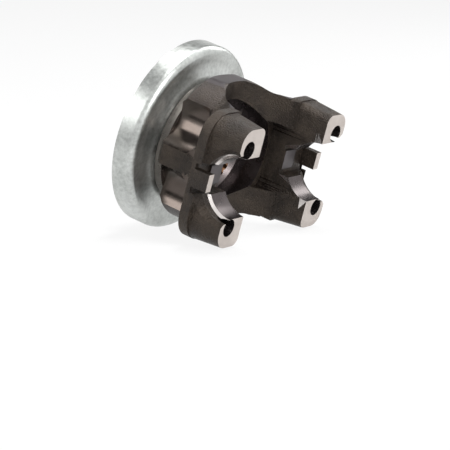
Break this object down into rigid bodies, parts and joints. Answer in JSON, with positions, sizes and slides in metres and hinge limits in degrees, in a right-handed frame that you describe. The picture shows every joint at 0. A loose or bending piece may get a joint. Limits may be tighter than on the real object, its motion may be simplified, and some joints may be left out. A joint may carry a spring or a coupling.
{
  "type": "forged end yoke",
  "caption": "Forged end yoke with two half-round bearing seats, U-bolt lugs, a splined hub and a pressed-on dust deflector.",
  "frame": {"origin": "centre of the hub's flat end, on the axis of the splined bore", "axes": "+Z along the bore towards the lugs, +X along the bearing seats"},
  "size_m": [0.1, 0.095, 0.078],
  "materials": {
    "forged_steel": "oiled forging skin with bright machined faces",
    "zinc_plate": "zinc-plated sheet steel"
  },
  "bodies": {
    "root": {"yoke": "forged_steel", "dust_deflector": "zinc_plate"}
  },
  "joints": []
}
